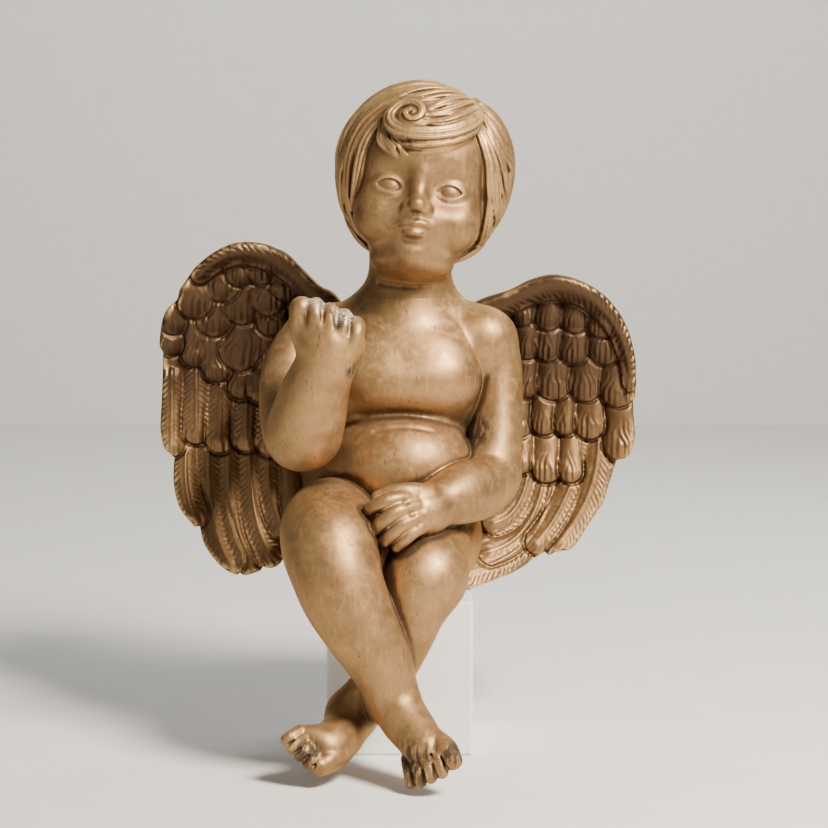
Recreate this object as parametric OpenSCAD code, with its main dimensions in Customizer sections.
// Cast resin angel figurine that sits on the edge of a shelf, its legs hanging over the edge.
// The castings are made apart and glued together on steel dowels and moulded tongues.
// +X is the figure's left, -Y the way it faces, +Z up. The origin is on the shelf, under the seat.

/* [Figure] */
// Height from the lowest toe to the top of the hair
figure_height = 285; // [240:1:330]
// Clearance left for glue between two castings
glue_gap = 0.1; // [0.05:0.05:0.3]

/* [Seat] */
// Length of the felt pad, side to side
pad_length = 50; // [36:1:56]
// Width of the felt pad, front to back
pad_width = 34; // [26:1:40]
// Thickness of the felt
pad_thickness = 1; // [0.5:0.25:2]
// Radius of the pour hole in the seat
pour_hole_r = 7; // [5:0.5:9]

/* [Dowels] */
// Radius of the neck and hip dowels
large_dowel_r = 3; // [2:0.25:4]
// Radius of the shoulder dowels
small_dowel_r = 2; // [1.5:0.25:2.5]

/* [Wings] */
// Thickness of a wing between its two faces
wing_thickness = 4.5; // [3.5:0.25:6]
// Radius of the hollow that each wing is cupped to
cup_r = 120; // [110:1:150]
// Depth of the hollow's bottom behind the figure's axis
cup_depth = 44; // [42:1:48]

/* [Hidden] */

s = figure_height / 285;      // everything sculpted grows with the height
body_fn = 20;                 // facets round a limb
digit_fn = 10;                // facets round a finger, toe or lock of hair
hole_fn = 40;                 // facets round a socket
cup_fn = 60;                  // facets round the hollow of a wing
gold = "#9c7a4f";
steel = "#a9adb0";
socket_gap = 0.15;            // a dowel's clearance in its socket
neck_plane_z = 127 * s;       // where the head casting leaves the torso
seat_z = pad_thickness;       // underside of the castings

// Limbs: each station is [x, y, z, radius]
right_arm_path = s * [[-40, 3, 111, 12.5], [-45, -14, 91.5, 12.5], [-40.5, -34, 73.5, 14], [-35.5, -44, 89.5, 13.5],
                      [-31, -50, 103.5, 10.5], [-29, -54, 110, 9.5]];
left_arm_path = s * [[38, 4, 109, 12], [41, 2, 86, 10.5], [39, -4, 63, 12], [35.5, -12, 48.5, 13.5],
                     [24, -28, 48, 12.5], [12.5, -40, 43, 9], [7, -45, 40.5, 8]];
right_leg_path = s * [[-26, -4, 30, 21], [-28, -32, 33, 20], [-28, -54, 27, 18.5], [-22, -62, 12, 17],
                      [-14.5, -62, -3, 15], [-7.5, -60, -16.5, 12.5], [-3, -60, -29, 10.5]];
left_leg_path = s * [[15, -4, 23.5, 18], [12.5, -32, 20.5, 17.5], [9.5, -47, 14, 16], [5, -46, -2.5, 13],
                     [-3, -42, -17, 10.5], [-13, -40, -31.5, 9], [-18, -40, -41, 9]];
right_foot_path = s * [[-6, -54, -38, 8.5], [6, -68, -42, 9], [10, -76, -47, 8]];
left_foot_path = s * [[-18, -38, -50, 9], [-27, -54, -52, 9], [-32, -60, -53, 8]];

// Toes: [first toe, last toe], from the great toe to the small one, each [root, tip] of stations
right_toes = s * [[[15, -80, -49, 4.6], [18.5, -85, -54, 4.2]], [[2, -78, -56, 3], [2, -83, -62, 2.6]]];
left_toes = s * [[[-36, -66, -50, 3.8], [-42, -69, -50, 3.8]], [[-26, -66, -60, 3.4], [-29, -72, -63, 3.2]]];
toe_count = 5;

// Fingers: [first finger, last finger], each three stations from the knuckle to the tip
right_fingers = s * [[[-33, -61, 115, 3.8], [-34, -64, 122, 3.6], [-33, -60, 126.5, 3.6]],
                     [[-22, -59, 112, 3.6], [-19, -62, 117, 3.4], [-17.5, -59, 121, 3.4]]];
left_fingers = s * [[[-4, -54, 43, 3.4], [-9, -57, 40, 3.2], [-13, -55, 36, 3]],
                    [[2, -56, 33, 3.4], [-3, -59, 29, 3.2], [-8, -59, 25.5, 3]]];
finger_count = 4;
right_thumb = s * [[-36, -54, 113, 4], [-41, -56, 120, 3.8], [-39, -55, 127, 4]];
left_thumb = s * [[6, -50, 46, 3.6], [-1, -51, 47, 3.2], [-8, -52, 45.5, 3]];

// Head: its own frame has the skull's middle as origin, the face looking along -Y
head_at = s * [9.5, -2, 176];
head_tilt = [-6, 7, -2];      // chin lifted, crown towards the figure's left, turned a little
neck_path = s * [[3.5, 4, 127, 18.5], [4.5, 1, 140, 17.5]];

// Wings: outlines are [x, z] seen from the front, from the neck end of the leading edge outwards
left_outline = s * [[12, 104], [30, 121], [48, 130], [67, 137], [87, 129], [99, 115], [104, 90], [101, 58],
                    [83, 27], [67, 14], [48, 5], [28, 3], [16, 12], [12, 50]];
right_outline = s * [[-14, 100], [-27, 124], [-43, 140], [-66, 151], [-89, 140], [-97, 123], [-106, 104],
                     [-106, 76], [-99, 42], [-84, 19], [-70, 8], [-45, 11], [-24, 20], [-15, 60]];
// Middle of each hollow, [x, z], and the leading edge's roll: [x, z, radius]
left_cup = s * [60, 74];
right_cup = s * [-64, 82];
left_rim = s * [[16, 106, 8], [34, 119, 6.5], [50, 126, 5.5], [67, 131.5, 5.5], [83, 126, 5], [94, 115, 4.2],
                [99, 101, 3.6], [100.5, 88, 3]];
right_rim = s * [[-18, 106, 8], [-30, 122, 6.5], [-45, 136, 5.5], [-60, 145, 5.5], [-75, 144.5, 5.5],
                 [-86, 137, 5], [-92, 126, 4.2]];
row_inset = 0.4;              // feathers stop this far inside the wing's edge, for each mm of relief
// Rows of feathers: [first feather's root, bend and tip, last feather's, how many, half width, relief]
left_rows = [
    [s * [[28, 112], [30, 103], [32, 96]], s * [[86, 118], [89, 108], [91, 100]], 6, 7 * s, 2.8],
    [s * [[26, 98], [29, 88], [31, 80]], s * [[95, 100], [97, 90], [96, 81]], 6, 7 * s, 2.2],
    [s * [[26, 84], [29, 73], [30, 64]], s * [[95, 84], [98, 68], [97, 57]], 7, 6.5 * s, 1.6],
    [s * [[24, 68], [27, 57], [28, 47]], s * [[84, 66], [82, 53], [78, 43]], 5, 6.8 * s, 1.0],
    [s * [[30, 50], [28, 34], [20, 26]], s * [[93, 58], [84, 32], [68, 17]], 5, 6.5 * s, 0.5]];
right_rows = [
    [s * [[-86, 138], [-85, 130], [-83, 123]], s * [[-30, 112], [-31, 106], [-31, 99]], 5, 7.5 * s, 2.8],
    [s * [[-94, 124], [-92, 115], [-89, 108]], s * [[-30, 100], [-31, 92], [-31, 84]], 5, 7.5 * s, 2.2],
    [s * [[-101, 114], [-100, 106], [-99, 98]], s * [[-30, 88], [-31, 78], [-31, 68]], 6, 7 * s, 1.6],
    [s * [[-101, 98], [-101, 78], [-98, 62]], s * [[-30, 72], [-31, 60], [-31, 48]], 6, 7 * s, 1.0],
    [s * [[-96, 58], [-97, 44], [-90, 30]], s * [[-36, 52], [-36, 36], [-30, 24]], 6, 6.5 * s, 0.5]];

// A point of a Catmull-Rom curve between b and c
function catmull(a, b, c, d, t) =
    0.5 * (2 * b + (c - a) * t + (2 * a - 5 * b + 4 * c - d) * t * t + (3 * b - a - 3 * c + d) * t * t * t);

// A closed smooth curve through the points, with so many steps between two of them
function closed_curve(points, steps) =
    let (n = len(points))
    [for (i = [0 : n - 1], k = [0 : steps - 1])
        catmull(points[(i + n - 1) % n], points[i], points[(i + 1) % n], points[(i + 2) % n], k / steps)];

// The part of the way from a to b
function between(a, b, t) = a * (1 - t) + b * t;

// Depth of a wing's front face at [x, z]
function face_y(cup, x, z) =
    cup_depth * s - cup_r * s + sqrt(pow(cup_r * s, 2) - pow(x - cup[0], 2) - pow(z - cup[1], 2));

// A sphere at a station, made larger by grow
module ball(station, grow = 0, fn = body_fn)
    translate([station[0], station[1], station[2]]) sphere(r = station[3] + grow, $fn = fn);

// Tapered round limb through its stations
module limb(path, grow = 0, fn = body_fn)
    for (i = [0 : len(path) - 2]) hull() {
        ball(path[i], grow, fn);
        ball(path[i + 1], grow, fn);
    }

// Ellipsoid with the given middle and half sizes
module blob(middle, half, grow = 0, fn = body_fn)
    translate(s * middle) scale(s * half + [grow, grow, grow]) sphere(r = 1, $fn = fn);

// Fingers or toes spread evenly between the first and the last
module digits(ends, count, grow = 0)
    for (i = [0 : count - 1]) limb(between(ends[0], ends[1], i / (count - 1)), grow, digit_fn);

// Round socket or dowel from one point to another
module rod(from, to, r, fn = hole_fn) {
    along = to - from;
    reach = norm(along);
    translate(from) rotate([0, acos(along[2] / reach), atan2(along[1], along[0])])
        cylinder(h = reach, r = r, $fn = fn);
}

// Dowels: where each starts and ends
neck_pin = s * [[4, 3, 114], [5, 1, 140]];
right_shoulder_pin = s * [[-20, 4, 108], [-42, 2, 110]];
left_shoulder_pin = s * [[20, 4, 107], [40, 3, 108]];
right_hip_pin = s * [[-23, -2, 28], [-27, -36, 31]];
left_hip_pin = s * [[17, -2, 23], [14, -34, 21]];

module socket(pin, r) rod(pin[0], pin[1], r + socket_gap);

module dowel(pin, r) color(steel) {
    clear = 0.4 * (pin[1] - pin[0]) / norm(pin[1] - pin[0]);
    rod(pin[0] + clear, pin[1] - clear, r, 64);
}

// Hips, belly, chest, shoulders and the stump of the neck
module torso_form(grow = 0) {
    hull() {
        blob([-1.5, 3, 29], [35, 30, 28], grow);
        blob([0, -4, 60], [31.5, 29.5, 25], grow);
    }
    hull() {
        blob([0, -4, 60], [31, 29, 25], grow);
        blob([1.5, 0, 93], [32, 24.5, 25], grow);
    }
    for (side = [-1, 1]) {
        hull() {
            blob([side * 26.5, 3, 108.5 - 1.5 * side], [11, 12, 10], grow);
            blob([3, 3, 117], [19, 15, 12], grow);
        }
        hull() {
            blob([1 + side * 12, -13, 99], [13, 11, 13], grow);
            blob([1 + side * 17, -8, 90], [14, 13, 11], grow);
        }
    }
    limb(neck_path, grow);
}

// Hollow that the pour leaves inside the torso
module cavity() {
    hull() {
        blob([0, 4, 33], [16, 14, 16]);
        blob([1, -3, 82], [19, 12, 18]);
    }
    translate([0, 0, seat_z - 1]) cylinder(h = 30 * s, r = pour_hole_r, $fn = hole_fn);
}

// Tongue that a wing is keyed to the back with
module tongue(side, grow = 0)
    translate([side * 15 * s, 24 * s, 96 * s])
        cube([6 * s + 2 * grow, 18 * s + 2 * grow, 20 * s + 2 * grow], center = true);

module torso() color(gold) difference() {
    torso_form();
    translate([-100, -100, -100 + seat_z]) cube([200, 200, 100]);
    translate([-100, -100, neck_plane_z]) cube([200, 200, 100]);
    cavity();
    socket(neck_pin, large_dowel_r);
    socket(right_shoulder_pin, small_dowel_r);
    socket(left_shoulder_pin, small_dowel_r);
    socket(right_hip_pin, large_dowel_r);
    socket(left_hip_pin, large_dowel_r);
    for (side = [-1, 1]) tongue(side, glue_gap);
}

// Skull, cheeks, jaw, nose, lips and lids, in the head's own frame
module face_form() {
    blob([0, 0, 3], [29, 31, 32]);
    blob([0, -11, -19], [25, 20, 20]);
    blob([0, -23, -34], [9, 8, 6.5], 0, digit_fn);
    for (side = [-1, 1]) {
        blob([side * 13, -19, -19], [11, 11, 11], 0, digit_fn);
        blob([side * 12, -26, -4], [6, 4, 4], 0, digit_fn);
        blob([side * 3, -31.5, -13.5], [2.4, 2.6, 2.2], 0, digit_fn);
    }
    blob([0, -32, -12.5], [3.6, 4.2, 3.4], 0, digit_fn);
    blob([0, -30, -22], [6, 4, 2], 0, digit_fn);
    blob([0, -29.5, -25.5], [4.8, 3.8, 2.1], 0, digit_fn);
}

// Locks of hair in the head's own frame: stations from the parting to the tip
hair_locks = s * [
    [[14, -20, 37, 5], [2, -29, 34, 6.5], [-9, -33, 26, 6.5], [-9, -34, 17, 5], [-2, -35, 15, 4], [1, -34, 20, 3]],
    [[20, -22, 35, 6], [26, -25, 28, 6.5], [31, -20, 18, 6.5], [34, -12, 6, 5.5]],
    [[-12, -24, 32, 6], [-22, -24, 24, 7], [-29, -18, 14, 6.5], [-33, -10, 2, 6]],
    [[-32, -8, 6, 6], [-34, -6, -8, 5.5], [-32, -6, -22, 5], [-28, -8, -29, 3.5]],
    [[33, -6, 6, 6], [34, -4, -8, 5.5], [30, -4, -22, 5], [25, -8, -28, 3.5]],
    [[-34, 6, 8, 6], [-34, 8, -8, 6], [-30, 8, -24, 5]],
    [[34, 6, 8, 6], [33, 8, -8, 6], [28, 8, -24, 5]],
    [[-18, 28, 8, 9], [-17, 29, -8, 8], [-14, 25, -24, 6]],
    [[0, 32, 8, 9], [0, 32, -8, 8], [0, 27, -24, 6]],
    [[18, 28, 8, 9], [17, 29, -8, 8], [14, 25, -24, 6]]];

// Cap of hair with its locks over the ears, the nape and the forelock's roll
module hair_form() {
    difference() {
        blob([0, 5, 7], [36.5, 35, 35.5]);
        blob([3, -34, -11], [25, 22, 33]);
    }
    blob([21, -2, 18], [18, 24, 21]);
    for (lock = hair_locks) limb(lock, 0, digit_fn);
}

module head_form(grow = 0) {
    translate(head_at) rotate(head_tilt) {
        face_form();
        hair_form();
    }
    limb(neck_path, grow);
}

module head() color(gold) difference() {
    head_form();
    translate([-100, -100, neck_plane_z + glue_gap - 100]) cube([200, 200, 100]);
    socket(neck_pin, large_dowel_r);
}

module right_arm() color(gold) difference() {
    union() {
        limb(right_arm_path);
        blob([-28, -57, 114], [8.5, 6.5, 7]);
        digits(right_fingers, finger_count);
        limb(right_thumb, 0, digit_fn);
    }
    torso_form(glue_gap);
    socket(right_shoulder_pin, small_dowel_r);
}

module right_leg_form(grow = 0) {
    limb(right_leg_path, grow);
    limb(right_foot_path, grow);
    digits(right_toes, toe_count, grow);
}

module right_leg() color(gold) difference() {
    right_leg_form();
    torso_form(glue_gap);
    socket(right_hip_pin, large_dowel_r);
}

module left_leg_form(grow = 0) {
    limb(left_leg_path, grow);
    limb(left_foot_path, grow);
    digits(left_toes, toe_count, grow);
}

module left_leg() color(gold) difference() {
    left_leg_form();
    torso_form(glue_gap);
    right_leg_form(glue_gap);
    socket(left_hip_pin, large_dowel_r);
}

module left_arm() color(gold) difference() {
    union() {
        limb(left_arm_path);
        blob([1, -51, 38.5], [9.5, 7, 8.5]);
        digits(left_fingers, finger_count);
        limb(left_thumb, 0, digit_fn);
    }
    torso_form(glue_gap);
    right_leg_form(glue_gap);
    left_leg_form(glue_gap);
    socket(left_shoulder_pin, small_dowel_r);
}

// Part of a cupped shell, between two distances from the hollow's face, cut to the shape of its children
module shell(cup, front, back) intersection() {
    translate([0, 60 * s, 0]) rotate([90, 0, 0]) linear_extrude(70 * s) children();
    translate([cup[0], cup_depth * s - cup_r * s, cup[1]]) difference() {
        sphere(r = cup_r * s + back, $fn = cup_fn);
        sphere(r = cup_r * s - front, $fn = cup_fn);
    }
}

// Outline of one feather seen from the front: root, bend and tip
module feather(path, half_width)
    for (i = [0, 1]) hull() {
        translate(path[i]) circle(r = half_width * (i == 0 ? 0.9 : 1), $fn = 16);
        translate(path[i + 1]) circle(r = half_width * (i == 0 ? 1 : 0.6), $fn = 16);
    }

// Plate, leading edge, rows of feathers and the root that joins them to the back
module wing_form(outline, cup, rim, rows, side) {
    shell(cup, 0, wing_thickness * s) polygon(closed_curve(outline, 3));
    limb([for (p = rim) [p[0], face_y(cup, p[0], p[1]) + 1.5 * s, p[1], p[2]]], 0, digit_fn + 2);
    for (row = rows)
        shell(cup, row[4] * s, 1)
            intersection() {
                for (i = [0 : row[2] - 1]) feather(between(row[0], row[1], i / (row[2] - 1)), row[3]);
                offset(delta = -row_inset * row[4]) polygon(closed_curve(outline, 3));
            }
    limb(s * [[side * 15, 28, 104, 7], [side * 15, 28, 84, 6]]);
}

module right_wing() color(gold) {
    difference() {
        wing_form(right_outline, right_cup, right_rim, right_rows, -1);
        torso_form(glue_gap);
        limb(right_arm_path, glue_gap);
    }
    tongue(-1);
}

module left_wing() color(gold) {
    difference() {
        wing_form(left_outline, left_cup, left_rim, left_rows, 1);
        torso_form(glue_gap);
        limb(left_arm_path, glue_gap);
    }
    tongue(1);
}

module neck_dowel() dowel(neck_pin, large_dowel_r);
module right_shoulder_dowel() dowel(right_shoulder_pin, small_dowel_r);
module left_shoulder_dowel() dowel(left_shoulder_pin, small_dowel_r);
module right_hip_dowel() dowel(right_hip_pin, large_dowel_r);
module left_hip_dowel() dowel(left_hip_pin, large_dowel_r);

// Rubber bung in the pour hole, flush with the seat
module pour_hole_plug() color("#2b2b2b") {
    translate([0, 0, seat_z]) cylinder(h = 5, r = pour_hole_r - socket_gap, $fn = 64);
    translate([0, 0, seat_z + 5])
        cylinder(h = 2, r1 = pour_hole_r - socket_gap, r2 = pour_hole_r - 1.5, $fn = 64);
}

// Felt pad glued under the seat; its underside rests on the shelf
module felt_pad() color("#3c3a36")
    linear_extrude(pad_thickness) union() {
        square([pad_length - pad_width, pad_width], center = true);
        for (side = [-1, 1]) translate([side * (pad_length - pad_width) / 2, 0]) circle(d = pad_width, $fn = 96);
    }

torso();
head();
right_arm();
left_arm();
right_leg();
left_leg();
right_wing();
left_wing();
neck_dowel();
right_shoulder_dowel();
left_shoulder_dowel();
right_hip_dowel();
left_hip_dowel();
pour_hole_plug();
felt_pad();
